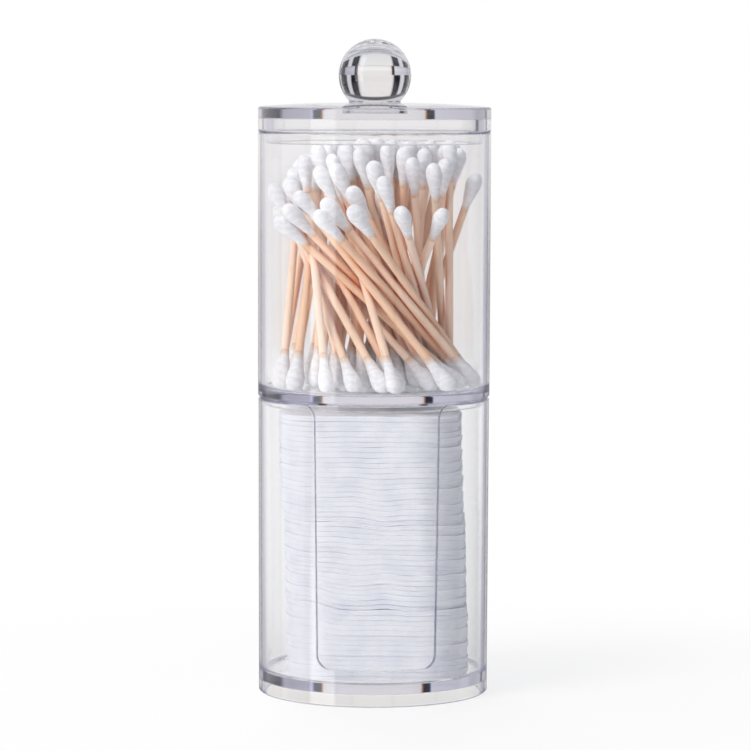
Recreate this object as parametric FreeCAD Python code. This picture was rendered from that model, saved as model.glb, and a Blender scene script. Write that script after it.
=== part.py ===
"""Two-tier round cotton holder: a swab canister with a lid, stacked on a slotted pad canister.

Everything is in millimetres. +Z is up, the dispensing slot faces -Y, and the origin is the
centre of the ring that the holder stands on.
"""

import FreeCAD, Part
import math
import os
import random

from FreeCAD import Vector

UP = Vector(0, 0, 1)

# The stack: the upper tier and the lid are flush, and the lower tier stands in a little
STACK_RADIUS = 35.0
TIER_STEP = 0.2

# Fits and small radii
FIT_GAP = 0.4            # radial play of a spigot in the wall that it centres in
SEAT_BEVEL = 0.35        # bevel where two tiers meet, which leaves the fine parting groove
INNER_ROUND = 1.5        # radius between a wall and the floor that it rises from

# Lower tier: the pad canister
PAD_TIER_HEIGHT = 89.0
PAD_TIER_DRAFT = 0.2     # how much slimmer the outside is at the foot than at the rim
PAD_WALL_TOP = 1.45
PAD_WALL_FOOT = 1.95
FOOT_HEIGHT = 3.8        # hollow under the floor
FOOT_WALL = 2.1
PAD_FLOOR = 2.6

# Dispensing slot in the pad canister
SLOT_WIDTH_TOP = 36.8
SLOT_WIDTH_FOOT = 34.8
SLOT_SILL = 4.5          # height of the sill above the canister's floor
SLOT_SILL_ROUND = 4.1
SLOT_DRAFT = 10.0        # slope of the slot's cut sides, which open to the front
SLOT_MOUTH_ROUND = 3.6   # flare where the slot runs out at the rim

# Upper tier: the swab canister
SWAB_HEADROOM = 2.0      # from the top of an upright swab to the rim
SWAB_TIER_DRAFT = 0.1
SWAB_WALL_TOP = 1.85
SWAB_WALL_FOOT = 2.05
SWAB_FLOOR = 2.8
SPIGOT_DEPTH = 2.0       # ring under the floor that centres the tier in the one below
SPIGOT_WALL = 1.8
HEEL_BEVEL = 0.8

# Lid
LID_SLAB = 3.3           # solid slab at its edge
LID_CROWN = 1.2          # rise of the slab's top towards the knob
LID_HOLLOW = 4.2         # from the seat up to the slab
LID_PLUG_DEPTH = 3.4
LID_PLUG_WALL = 2.3
LID_EDGE_ROUND = 0.7

# Knob
KNOB_BALL_RADIUS = 10.9
KNOB_BALL_RISE = 8.25    # centre of the ball above the top of the lid
KNOB_NECK_RADIUS = 7.8
KNOB_PEG_RADIUS = 6.2
KNOB_PEG_LENGTH = 3.0
PEG_GAP = 0.05           # glue film round the peg
PEG_CHAMFER = 0.4

# Cotton pads: squares with rounded corners, in three packs
PAD_CORNER = 8.0
PAD_CORNER_SIDES = 2
PAD_CORNER_GAP = 0.6     # between a pad's rounded corner and the wall at the floor
PAD_THICKNESS = 1.5
PAD_PITCH = 1.52         # one pad to the next
PAD_HEADROOM = 0.8       # least gap between the top pad and the spigot above it
PAD_FLOOR_GAP = 0.05
PACK_NAMES = ("cotton_pads_lower", "cotton_pads_middle", "cotton_pads_upper")
PACK_COUNTS = (14, 17)   # pads in the lower packs, and the upper one takes the rest
PACK_ANGLES = (-11.0, -12.0, -13.0)
PACK_SHIFTS = ((0.5, 0.2), (0.0, 0.3), (-0.6, 0.2))  # across and to the back
PAD_SCATTER = 0.25       # how far a single pad sits out of line with its pack

# Cotton swabs: wooden sticks with a cotton bud on each end, standing in a twisted sheaf
SWAB_LENGTH = 75.0
SWAB_CROWDING = 0.401    # share of the floor that the lower buds cover
STICK_DIAMETER = 2.4
BUD_DIAMETER = 4.9
BUD_LENGTH = 11.5
BUD_WIDEST = 3.4         # distance from the bud's end to where it begins to taper
BUD_NOSE = 0.55          # width of the bud's blunt end, as a share of its widest
SWAB_SIDES = 5
SWAB_GAP = 0.25          # least room round a swab
SHEAF_TWIST = 78.0       # degrees that a swab's head is turned against its foot
SHEAF_TWIST_FRONT = 60.0  # more than that at the front, and as much less at the back
SHEAF_SCATTER = 3.5      # how far a head strays from its place in the pattern
SHEAF_SEED = 3
STEEPEST_LEAN = 62.0     # degrees from upright
LEADER_GIVE = 0.15       # how readily a leading swab gives way, beside 1 for the rest
LEADING_SWABS = (        # foot and head, across and to the back, as shares of the room inside
    # along the front, from the right foot up to the left
    ((0.65, -0.60), (-0.95, 0.05)),
    ((0.84, -0.15), (-0.80, -0.55)),
    ((0.97, -0.08), (-0.60, -0.65)),
    ((0.96, 0.12), (-0.28, -0.90)),
    ((0.77, 0.20), (-0.40, -0.45)),
    # from the back, leaning out to the front
    ((0.93, 0.27), (-0.15, -0.58)),
    ((0.88, 0.42), (0.00, -0.80)),
    ((0.79, 0.57), (0.16, -0.92)),
    ((0.68, 0.70), (0.39, -0.88)),
    ((0.60, 0.52), (0.25, -0.72)),
    ((0.55, 0.80), (0.45, -0.62)),
    ((0.47, 0.64), (0.18, -0.52)),
    ((0.70, 0.37), (0.55, -0.58)),
    ((0.32, 0.73), (0.28, -0.30)),
    ((0.24, 0.92), (0.02, -0.42)),
    ((0.07, 0.92), (0.60, -0.68)),
    # up to the right
    ((0.50, 0.20), (0.90, -0.38)),
    ((0.40, 0.88), (0.97, -0.15)),
    ((0.80, 0.03), (0.70, -0.18)),
    # from the left foot
    ((-0.22, -0.92), (-0.92, 0.30)),
    ((-0.45, -0.85), (-0.60, 0.05)),
    ((-0.10, -0.92), (-0.65, 0.25)),
    ((-0.78, -0.58), (-0.50, 0.20)),
    ((-0.90, -0.35), (-0.75, 0.60)),
    ((0.12, -0.92), (-0.40, 0.18)),
)
SETTLING_ROUNDS = 250
SETTLED_OVERLAP = 0.02   # the sheaf counts as settled when no swab presses deeper

# Heights, radii and counts that follow
PAD_TIER_RADIUS = STACK_RADIUS - TIER_STEP
SWAB_TIER_RADIUS = STACK_RADIUS
LID_RADIUS = STACK_RADIUS
PAD_FLOOR_TOP = FOOT_HEIGHT + PAD_FLOOR
PAD_RIM_INNER = PAD_TIER_RADIUS - PAD_WALL_TOP
SLOT_BOTTOM = PAD_FLOOR_TOP + SLOT_SILL
SLOT_FLARE_START = PAD_TIER_HEIGHT - SLOT_MOUTH_ROUND
SLOT_FLARE_SHARE = (SLOT_FLARE_START - SLOT_BOTTOM) / (PAD_TIER_HEIGHT - SLOT_BOTTOM)
SLOT_NECK_HALF = (SLOT_WIDTH_FOOT + (SLOT_WIDTH_TOP - SLOT_WIDTH_FOOT) * SLOT_FLARE_SHARE) / 2
PAD_FOOT_RADIUS = PAD_TIER_RADIUS - PAD_TIER_DRAFT
PAD_FOOT_INNER = PAD_FOOT_RADIUS - PAD_WALL_FOOT
PAD_DIAGONAL = 2 * (PAD_FOOT_INNER - PAD_CORNER_GAP - PAD_CORNER)
PAD_SIDE = PAD_DIAGONAL / math.sqrt(2) + 2 * PAD_CORNER
SPIGOT_RADIUS = PAD_RIM_INNER - FIT_GAP
SPIGOT_BOTTOM = PAD_TIER_HEIGHT - SPIGOT_DEPTH
SWAB_FLOOR_TOP = PAD_TIER_HEIGHT + SWAB_FLOOR
SWAB_FOOT_RADIUS = SWAB_TIER_RADIUS - SWAB_TIER_DRAFT
SWAB_RIM = SWAB_FLOOR_TOP + SWAB_LENGTH + SWAB_HEADROOM
SWAB_RIM_INNER = SWAB_TIER_RADIUS - SWAB_WALL_TOP
SWAB_FOOT_INNER = SWAB_FOOT_RADIUS - SWAB_WALL_FOOT
SWAB_COUNT = int(SWAB_CROWDING * (2 * SWAB_FOOT_INNER / BUD_DIAMETER) ** 2)
LID_PLUG_RADIUS = SWAB_RIM_INNER - FIT_GAP
LID_PLUG_INNER = LID_PLUG_RADIUS - LID_PLUG_WALL
LID_PLUG_BOTTOM = SWAB_RIM - LID_PLUG_DEPTH
LID_SLAB_BOTTOM = SWAB_RIM + LID_HOLLOW
LID_EDGE_TOP = LID_SLAB_BOTTOM + LID_SLAB
LID_TOP = LID_EDGE_TOP + LID_CROWN


def turned(section):
    """Solid turned about Z from the (radius, height) corners of its half section."""
    corners = [Vector(radius, 0, height) for radius, height in section]
    outline = Part.makePolygon(corners + corners[:1])
    return Part.Face(outline).revolve(Vector(), UP, 360)


def on_rim(edge, rim):
    """Whether a circular edge about Z lies at the rim's (radius, height)."""
    curve = edge.Curve
    if not isinstance(curve, Part.Circle):
        return False
    same_radius = abs(curve.Radius - rim[0]) < 1e-4
    return same_radius and abs(curve.Center.z - rim[1]) < 1e-4


def edges_at(solid, rims):
    """The solid's circular edges at the (radius, height) rims."""
    return [edge for edge in solid.Edges if any(on_rim(edge, rim) for rim in rims)]


def rounded(solid, radius, *rims):
    """The solid with its edges at the rims rounded."""
    return solid.makeFillet(radius, edges_at(solid, rims))


def bevelled(solid, width, *rims):
    """The solid with its edges at the rims bevelled."""
    return solid.makeChamfer(width, edges_at(solid, rims))


def rounded_square(side, corner, sides):
    """Corners of a square about the origin whose rounded corners are cut in a few sides."""
    points = []
    for quarter in range(4):
        start = quarter * math.pi / 2
        turn = FreeCAD.Rotation(UP, math.degrees(start))
        centre = turn.multVec(Vector(side / 2 - corner, side / 2 - corner, 0))
        for step in range(sides + 1):
            angle = start + step / sides * math.pi / 2
            points.append(centre + Vector(math.cos(angle), math.sin(angle), 0) * corner)
    return points


# Lower tier


def slot_outline(spread, depth):
    """Edge of the dispensing slot, flared at the rim and rounded at the sill.

    The slot is wider by the spread on both sides, and the wire lies the depth in front of the axis.
    """
    half_foot = SLOT_WIDTH_FOOT / 2 + spread
    half_mouth = SLOT_NECK_HALF + SLOT_MOUTH_ROUND
    half_neck = SLOT_NECK_HALF + spread
    flare = half_mouth - half_neck
    share = 1 - math.sqrt(0.5)
    above = PAD_TIER_HEIGHT + SLOT_MOUTH_ROUND
    edges = []
    for side in (1, -1):
        mouth = Part.Arc(
            Vector(side * half_neck, 0, SLOT_FLARE_START),
            Vector(side * (half_neck + flare * share), 0,
                   PAD_TIER_HEIGHT - SLOT_MOUTH_ROUND * share),
            Vector(side * half_mouth, 0, PAD_TIER_HEIGHT))
        wall = Part.makePolygon([
            Vector(0, 0, SLOT_BOTTOM),
            Vector(side * half_foot, 0, SLOT_BOTTOM),
            Vector(side * half_neck, 0, SLOT_FLARE_START),
        ])
        lid = Part.makePolygon([
            Vector(side * half_mouth, 0, PAD_TIER_HEIGHT),
            Vector(side * half_mouth, 0, above),
            Vector(0, 0, above),
        ])
        edges += wall.Edges + [mouth.toShape()] + lid.Edges
    outline = Part.Wire(Part.__sortEdges__(edges))
    block = Part.Face(outline).extrude(Vector(0, -depth, 0)).removeSplitter()
    sill_edges = [
        edge for edge in block.Edges
        if edge.BoundBox.ZMax < SLOT_BOTTOM + 1e-4 and edge.BoundBox.YLength > depth / 2
    ]
    block = block.makeFillet(SLOT_SILL_ROUND, sill_edges)
    return min(block.Faces, key=lambda face: face.CenterOfMass.y).OuterWire


def slot_cutter():
    """Block that cuts the dispensing slot, with its sides drafted wider to the front."""
    front, back = 2 * PAD_TIER_RADIUS, PAD_TIER_RADIUS / 2
    at_wall = math.sqrt(PAD_TIER_RADIUS ** 2 - SLOT_NECK_HALF ** 2)
    draft = math.tan(math.radians(SLOT_DRAFT))
    wires = [slot_outline((depth - at_wall) * draft, depth) for depth in (back, front)]
    return Part.makeLoft(wires, True, True)


def make_lower_canister():
    """Pad canister: drafted wall, raised floor on a foot ring, and the slot at the front."""
    foot_inner = PAD_FOOT_RADIUS - FOOT_WALL
    canister = turned([
        (0, FOOT_HEIGHT),
        (foot_inner, FOOT_HEIGHT),
        (foot_inner, 0),
        (PAD_FOOT_RADIUS, 0),
        (PAD_TIER_RADIUS, PAD_TIER_HEIGHT),
        (PAD_RIM_INNER, PAD_TIER_HEIGHT),
        (PAD_FOOT_INNER, PAD_FLOOR_TOP),
        (0, PAD_FLOOR_TOP),
    ])
    canister = rounded(canister, INNER_ROUND, (PAD_FOOT_INNER, PAD_FLOOR_TOP))
    canister = bevelled(
        canister, SEAT_BEVEL, (PAD_TIER_RADIUS, PAD_TIER_HEIGHT), (PAD_FOOT_RADIUS, 0))
    return canister.cut(slot_cutter())


# Upper tier


def make_upper_canister():
    """Swab canister: drafted wall on a floor, with the centring spigot under it."""
    spigot_inner = SPIGOT_RADIUS - SPIGOT_WALL
    canister = turned([
        (0, PAD_TIER_HEIGHT),
        (spigot_inner, PAD_TIER_HEIGHT),
        (spigot_inner, SPIGOT_BOTTOM),
        (SPIGOT_RADIUS, SPIGOT_BOTTOM),
        (SPIGOT_RADIUS, PAD_TIER_HEIGHT),
        (SWAB_FOOT_RADIUS, PAD_TIER_HEIGHT),
        (SWAB_TIER_RADIUS, SWAB_RIM),
        (SWAB_RIM_INNER, SWAB_RIM),
        (SWAB_FOOT_INNER, SWAB_FLOOR_TOP),
        (0, SWAB_FLOOR_TOP),
    ])
    canister = rounded(canister, INNER_ROUND, (SWAB_FOOT_INNER, SWAB_FLOOR_TOP))
    canister = bevelled(canister, HEEL_BEVEL, (SWAB_FOOT_RADIUS, PAD_TIER_HEIGHT))
    return bevelled(
        canister, SEAT_BEVEL, (SWAB_TIER_RADIUS, SWAB_RIM), (SPIGOT_RADIUS, SPIGOT_BOTTOM))


# Lid and knob


def make_lid():
    """Lid: crowned slab, rim that sits on the canister, plug ring and socket for the knob."""
    flat_end = Vector(KNOB_NECK_RADIUS, 0, LID_TOP)
    edge_top = Vector(LID_RADIUS, 0, LID_EDGE_TOP)
    crown_reach = LID_RADIUS - KNOB_NECK_RADIUS
    crown_radius = (crown_reach ** 2 + LID_CROWN ** 2) / 2 / LID_CROWN
    half_way = crown_reach / 2
    half_drop = crown_radius - math.sqrt(crown_radius ** 2 - half_way ** 2)
    half_point = Vector(KNOB_NECK_RADIUS + half_way, 0, LID_TOP - half_drop)
    section = Part.makePolygon([
        edge_top,
        Vector(LID_RADIUS, 0, SWAB_RIM),
        Vector(LID_PLUG_RADIUS, 0, SWAB_RIM),
        Vector(LID_PLUG_RADIUS, 0, LID_PLUG_BOTTOM),
        Vector(LID_PLUG_INNER, 0, LID_PLUG_BOTTOM),
        Vector(LID_PLUG_INNER, 0, LID_SLAB_BOTTOM),
        Vector(0, 0, LID_SLAB_BOTTOM),
        Vector(0, 0, LID_TOP),
        flat_end,
    ])
    crown = Part.Arc(flat_end, half_point, edge_top).toShape()
    lid = Part.Face(Part.Wire(section.Edges + [crown])).revolve(Vector(), UP, 360)
    lid = rounded(lid, LID_EDGE_ROUND, (LID_RADIUS, LID_EDGE_TOP))
    lid = bevelled(lid, SEAT_BEVEL, (LID_RADIUS, SWAB_RIM), (LID_PLUG_RADIUS, LID_PLUG_BOTTOM))
    socket_depth = KNOB_PEG_LENGTH + PEG_GAP
    socket = Part.makeCylinder(
        KNOB_PEG_RADIUS + PEG_GAP, socket_depth + LID_CROWN, Vector(0, 0, LID_TOP - socket_depth))
    return lid.cut(socket)


def make_knob():
    """Knob: a solid ball that runs into a short neck, and the peg that is glued in the lid."""
    peg_bottom = LID_TOP - KNOB_PEG_LENGTH
    ball_centre = LID_TOP + KNOB_BALL_RISE
    neck_top = ball_centre - math.sqrt(KNOB_BALL_RADIUS ** 2 - KNOB_NECK_RADIUS ** 2)
    neck_end = Vector(KNOB_NECK_RADIUS, 0, neck_top)
    ball_top = Vector(0, 0, ball_centre + KNOB_BALL_RADIUS)
    side = Part.makePolygon([
        ball_top,
        Vector(0, 0, peg_bottom),
        Vector(KNOB_PEG_RADIUS - PEG_CHAMFER, 0, peg_bottom),
        Vector(KNOB_PEG_RADIUS, 0, peg_bottom + PEG_CHAMFER),
        Vector(KNOB_PEG_RADIUS, 0, LID_TOP),
        Vector(KNOB_NECK_RADIUS, 0, LID_TOP),
        neck_end,
    ])
    ball = Part.Arc(neck_end, Vector(KNOB_BALL_RADIUS, 0, ball_centre), ball_top).toShape()
    return Part.Face(Part.Wire(side.Edges + [ball])).revolve(Vector(), UP, 360)


# Cotton pads


def pack_counts():
    """Pads in each pack: the upper pack takes what fits under the spigot."""
    room = SPIGOT_BOTTOM - PAD_HEADROOM - PAD_FLOOR_TOP - PAD_FLOOR_GAP - PAD_THICKNESS
    total = int(room / PAD_PITCH) + 1
    return [*PACK_COUNTS, total - sum(PACK_COUNTS)]


def make_pad_packs():
    """Each pack of pads by name, a group of separate flat squares."""
    outline = rounded_square(PAD_SIDE, PAD_CORNER, PAD_CORNER_SIDES)
    pad = Part.Face(Part.makePolygon(outline + outline[:1])).extrude(UP * PAD_THICKNESS)
    packs = {}
    level = PAD_FLOOR_TOP + PAD_FLOOR_GAP
    for name, count, angle, shift in zip(PACK_NAMES, pack_counts(), PACK_ANGLES, PACK_SHIFTS):
        pads = []
        for index in range(count):
            wander = Vector(math.sin(2.4 * index), math.cos(1.7 * index), 0) * PAD_SCATTER
            place = Vector(shift[0], shift[1], level) + wander
            pads.append(pad.copy())
            pads[-1].Placement = FreeCAD.Placement(place, FreeCAD.Rotation(UP, angle))
            level += PAD_PITCH
        packs[name] = Part.makeCompound(pads)
    return packs


# Cotton swabs


def held_within(point, radius):
    """The point, brought in to the radius from the axis if it is farther out."""
    distance = math.hypot(point.x, point.y)
    share = min(1.0, radius / distance) if distance else 1.0
    return Vector(point.x * share, point.y * share, 0)


def stand(foot, head):
    """A swab's foot on the floor and its head as high as its length gives, inside the wall."""
    reach = SWAB_LENGTH - BUD_DIAMETER
    around = BUD_DIAMETER / 2 + SWAB_GAP
    floor = SWAB_FLOOR_TOP + around
    foot = held_within(foot, SWAB_FOOT_INNER - around)
    head = held_within(head, SWAB_FOOT_INNER - around)
    head = foot + held_within(head - foot, reach * math.sin(math.radians(STEEPEST_LEAN)))
    rise = math.sqrt(reach ** 2 - foot.distanceToPoint(head) ** 2)
    if floor + rise + around > LID_PLUG_BOTTOM:
        head = held_within(head, LID_PLUG_INNER - around)
        rise = math.sqrt(reach ** 2 - foot.distanceToPoint(head) ** 2)
    return foot + UP * floor, head + UP * (floor + rise)


def swab_distance(one, other):
    """How far two swabs' feet and heads are from each other, taken together."""
    return sum(end.distanceToPoint(other_end) for end, other_end in zip(one, other))


def leading_swabs():
    """Foot and head of the swabs that stand outermost, each in a place of its own."""
    room = SWAB_FOOT_INNER - BUD_DIAMETER / 2
    return [
        tuple(Vector(across, back, 0) * room for across, back in ends) for ends in LEADING_SWABS
    ]


def twisted_sheaf():
    """Foot and head of each swab, spread evenly over the floor and turned against each other."""
    luck = random.Random(SHEAF_SEED)
    golden_angle = math.pi * (3 - math.sqrt(5))
    widest = SWAB_FOOT_INNER - BUD_DIAMETER / 2
    sheaf = []
    for index in range(SWAB_COUNT):
        share = math.sqrt((index + 0.5) / SWAB_COUNT)
        bearing = index * golden_angle
        twist = SHEAF_TWIST - SHEAF_TWIST_FRONT * share * math.sin(bearing)
        half = math.radians(twist) / 2
        foot = Vector(math.cos(bearing + half), math.sin(bearing + half), 0) * share * widest
        head = Vector(math.cos(bearing - half), math.sin(bearing - half), 0) * share * widest
        head.x += luck.uniform(-SHEAF_SCATTER, SHEAF_SCATTER)
        head.y += luck.uniform(-SHEAF_SCATTER, SHEAF_SCATTER)
        sheaf.append((foot, head))
    for leader in leading_swabs():
        sheaf.remove(min(sheaf, key=lambda swab: swab_distance(swab, leader)))
        sheaf.append(leader)
    return [stand(foot, head) for foot, head in sheaf]


def girth(share):
    """Radius of a swab at a share of the way from the middle of one bud's end to the other's."""
    from_end = min(share, 1 - share) * (SWAB_LENGTH - BUD_DIAMETER) + BUD_DIAMETER / 2
    taper = (from_end - BUD_WIDEST) / (BUD_LENGTH - BUD_WIDEST)
    taper = min(1.0, max(0.0, taper))
    return (BUD_DIAMETER + taper * (STICK_DIAMETER - BUD_DIAMETER)) / 2


def share_along(swab, point):
    """Share of the way along a swab that lies nearest to a point."""
    axis = swab[1] - swab[0]
    return min(1.0, max(0.0, (point - swab[0]).dot(axis) / axis.dot(axis)))


def point_along(swab, share):
    """Point at a share of the way from a swab's foot to its head."""
    return swab[0] + (swab[1] - swab[0]) * share


def closest_shares(one, other):
    """Shares along two swabs at which their axes pass nearest to each other."""
    axis, other_axis, between = one[1] - one[0], other[1] - other[0], one[0] - other[0]
    cross = axis.dot(other_axis)
    square, other_square = axis.dot(axis), other_axis.dot(other_axis)
    skew = square * other_square - cross ** 2
    share = 0.5
    if skew > 1e-6 * square:
        share = (cross * other_axis.dot(between) - other_square * axis.dot(between)) / skew
    share = min(1.0, max(0.0, share))
    other_share = share_along(other, point_along(one, share))
    return share_along(one, point_along(other, other_share)), other_share


def ease_apart(one, other, give=1.0, other_give=1.0):
    """Slide two swabs sideways until they clear each other, and give how deep they pressed."""
    share, other_share = closest_shares(one, other)
    nearest = point_along(one, share).distanceToPoint(point_along(other, other_share))
    if nearest > BUD_DIAMETER + SWAB_GAP:
        return 0
    meetings = [(share, other_share)]
    mid_bud = (BUD_LENGTH - BUD_DIAMETER) / 2 / (SWAB_LENGTH - BUD_DIAMETER)
    for place in (0, mid_bud, 1 - mid_bud, 1):
        meetings.append((place, share_along(other, point_along(one, place))))
        meetings.append((share_along(one, point_along(other, place)), place))
    deepest = 0
    for share, other_share in meetings:
        away = point_along(one, share) - point_along(other, other_share)
        distance = away.Length
        overlap = girth(share) + girth(other_share) + SWAB_GAP - distance
        if overlap <= 0:
            continue
        deepest = max(deepest, overlap)
        away.z = 0
        flat = max(away.Length, distance / 2)
        step = away * (overlap * distance / flat ** 2 / (give + other_give))
        for end, weight in ((0, 1 - share), (1, share)):
            one[end].x += step.x * weight * give
            one[end].y += step.y * weight * give
        for end, weight in ((0, 1 - other_share), (1, other_share)):
            other[end].x -= step.x * weight * other_give
            other[end].y -= step.y * weight * other_give
    return deepest


def settled_sheaf():
    """The twisted sheaf, shaken out until its swabs only lean against each other."""
    sheaf = twisted_sheaf()
    gives = [1.0] * (len(sheaf) - len(LEADING_SWABS)) + [LEADER_GIVE] * len(LEADING_SWABS)
    for _ in range(SETTLING_ROUNDS):
        pressed = [
            ease_apart(sheaf[index], sheaf[before], gives[index], gives[before])
            for index in range(len(sheaf)) for before in range(index)
        ]
        sheaf = [stand(foot, head) for foot, head in sheaf]
        if max(pressed) < SETTLED_OVERLAP:
            break
    return sheaf


def faceted_spindle(stations, start, direction):
    """Solid with flat sides whose (distance, radius) stations lie along a line."""
    turn = FreeCAD.Rotation(UP, direction)
    rings = []
    for distance, radius in stations:
        ring = []
        for side in range(SWAB_SIDES):
            angle = 2 * math.pi * side / SWAB_SIDES
            spoke = Vector(math.cos(angle), math.sin(angle), 0) * radius
            ring.append(start + direction * distance + turn.multVec(spoke))
        rings.append(ring)
    outlines = [rings[0], rings[-1]]
    for ring, following in zip(rings, rings[1:]):
        for side in range(SWAB_SIDES):
            beside = (side + 1) % SWAB_SIDES
            outlines.append([ring[side], ring[beside], following[beside], following[side]])
    faces = [Part.Face(Part.makePolygon(outline + outline[:1])) for outline in outlines]
    return Part.Solid(Part.makeShell(faces))


def make_swabs():
    """Sticks, lower buds and upper buds of all swabs, each a group of separate solids."""
    stick_radius = STICK_DIAMETER / 2
    bud_radius = BUD_DIAMETER / 2
    bud = [(0, bud_radius * BUD_NOSE), (BUD_WIDEST, bud_radius), (BUD_LENGTH, stick_radius)]
    shaft = [(BUD_LENGTH, stick_radius), (SWAB_LENGTH - BUD_LENGTH, stick_radius)]
    sticks, lower_buds, upper_buds = [], [], []
    for foot, head in settled_sheaf():
        up = (head - foot).normalize()
        bottom = foot - up * bud_radius
        top = head + up * bud_radius
        sticks.append(faceted_spindle(shaft, bottom, up))
        lower_buds.append(faceted_spindle(bud, bottom, up))
        upper_buds.append(faceted_spindle(bud, top, up * -1))
    return {
        "swab_sticks": Part.makeCompound(sticks),
        "swab_buds_lower": Part.makeCompound(lower_buds),
        "swab_buds_upper": Part.makeCompound(upper_buds),
    }


def main():
    """Make every piece and write it to its own file."""
    os.makedirs("parts", exist_ok=True)
    pieces = {
        "lower_canister": make_lower_canister(),
        "upper_canister": make_upper_canister(),
        "lid": make_lid(),
        "knob": make_knob(),
    }
    pieces.update(make_pad_packs())
    pieces.update(make_swabs())
    for name, shape in pieces.items():
        shape.exportStep(f"parts/{name}.step")
        print(f"{name}: {len(shape.Solids)} solids, {shape.Volume / 1000:.2f} cm3")


main()
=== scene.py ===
"""Two-tier round holder for cotton pads and swabs: its finishes, its soft goods and the studio."""

import logging
import math
from collections.abc import Mapping, Sequence
from dataclasses import dataclass, field
from enum import Enum
from typing import ClassVar

import bmesh
import bpy
import numpy as np
from mathutils import Matrix, Vector


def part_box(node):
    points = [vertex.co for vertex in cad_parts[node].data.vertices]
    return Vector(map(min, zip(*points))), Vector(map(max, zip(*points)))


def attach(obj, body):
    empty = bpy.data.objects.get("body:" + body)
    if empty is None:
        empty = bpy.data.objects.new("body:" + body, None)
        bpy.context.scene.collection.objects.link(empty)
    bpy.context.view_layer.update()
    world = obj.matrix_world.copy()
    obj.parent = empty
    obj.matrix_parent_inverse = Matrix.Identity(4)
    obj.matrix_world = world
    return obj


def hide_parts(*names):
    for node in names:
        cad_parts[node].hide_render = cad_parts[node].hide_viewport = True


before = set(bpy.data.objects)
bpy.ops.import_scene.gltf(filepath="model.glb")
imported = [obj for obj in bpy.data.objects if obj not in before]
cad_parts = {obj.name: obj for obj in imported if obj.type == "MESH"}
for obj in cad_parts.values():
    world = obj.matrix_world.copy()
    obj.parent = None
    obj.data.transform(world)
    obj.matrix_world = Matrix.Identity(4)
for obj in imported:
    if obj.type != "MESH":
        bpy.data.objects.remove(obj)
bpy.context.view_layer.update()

MM = 0.001        # metres in a millimetre
WELD = 1e-6       # corners of a CAD mesh as near as this are one corner, in metres
PLACE = "place"   # mesh attribute: a point's place in its tube's own frame, in millimetres
TONE = "tone"     # mesh attribute: shade of the tube at a point, from 0 to 1

log = logging.getLogger("cotton_holder")
Colour = tuple[float, float, float, float]
Stops = Sequence[tuple[float, str]]
Tree = bpy.types.NodeTree
Socket = bpy.types.NodeSocket


class Body(Enum):
    """The frame's bodies that carry pads or swabs."""

    LOWER_TIER = "lower_tier"
    UPPER_TIER = "upper_tier"


class Slot(Enum):
    """The record's finish slots for the pads and swabs."""

    PAD = "cotton_pad"
    BUD = "cotton_bud"
    STICK = "birch_stick"


# Colours and nodes


def linear(code: str) -> Colour:
    """Turn an sRGB hex colour into Blender's linear values.

    Args:
        code: Colour such as "#F4F1EC".

    Returns:
        Red, green, blue and an alpha of 1.
    """
    channels = [int(code[i:i + 2], 16) / 255 for i in (1, 3, 5)]
    red, green, blue = (
        c / 12.92 if c <= 0.04045 else ((c + 0.055) / 1.055) ** 2.4 for c in channels
    )
    return (red, green, blue, 1.0)


def add_node(
    tree: Tree, kind: str, inputs: Mapping[str | int, object] | None = None,
    stops: Stops = (), **settings: object,
) -> bpy.types.Node:
    """Add a node with its settings and links.

    Args:
        tree: Node tree that takes the node.
        kind: Node type, such as "ShaderNodeTexNoise".
        inputs: For each input, the socket that feeds it or its value.
        stops: Positions and hex colours of a colour ramp.
        settings: Properties of the node.

    Returns:
        The new node.
    """
    node = tree.nodes.new(kind)
    for name, value in settings.items():
        setattr(node, name, value)
    for name, value in (inputs or {}).items():
        if isinstance(value, Socket):
            tree.links.new(value, node.inputs[name])
        else:
            node.inputs[name].default_value = value
    for index, (position, colour) in enumerate(stops):
        elements = node.color_ramp.elements
        stop = elements[index] if index < len(elements) else elements.new(position)
        stop.position = position
        stop.color = linear(colour)
    return node


def calculate(tree: Tree, operation: str, *values: object) -> Socket:
    """Work out a value from sockets or numbers, by the operation that Blender names so."""
    return add_node(
        tree, "ShaderNodeMath", dict(enumerate(values)), operation=operation).outputs[0]


def blend(
    tree: Tree, share: Socket, first: object, second: object, kind: str = "MIX"
) -> Socket:
    """Mix two colours, by the share that the second one has."""
    return add_node(
        tree, "ShaderNodeMix", {0: share, 6: first, 7: second}, data_type="RGBA",
        blend_type=kind).outputs[2]


def rescale(
    tree: Tree, value: Socket, source: tuple[float, float],
    target: tuple[float, float] = (0.0, 1.0), **settings: object,
) -> Socket:
    """Map the range of a value onto another range, whose ends it doesn't pass."""
    return add_node(
        tree, "ShaderNodeMapRange",
        {"Value": value, "From Min": source[0], "From Max": source[1],
         "To Min": target[0], "To Max": target[1]}, **settings).outputs["Result"]


def noise(tree: Tree, place: Socket, scale: float, detail: float, **inputs: float) -> Socket:
    """Add a noise that follows a place."""
    return add_node(
        tree, "ShaderNodeTexNoise",
        {"Vector": place, "Scale": scale, "Detail": detail, **inputs}).outputs["Fac"]


def relief(
    tree: Tree, height: Socket, height_mm: float, strength: float, **inputs: Socket
) -> Socket:
    """Add a relief as high as given, and give the surface's new direction."""
    distance = {"Strength": strength, "Distance": height_mm * MM}
    return add_node(
        tree, "ShaderNodeBump", {"Height": height, **distance, **inputs}).outputs["Normal"]


def new_material(name: str) -> tuple[bpy.types.Material, Tree]:
    """Make a material with an empty node tree."""
    material = bpy.data.materials.new(name)
    material.use_nodes = True
    material.node_tree.nodes.clear()
    return material, material.node_tree


# Finishes


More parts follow.
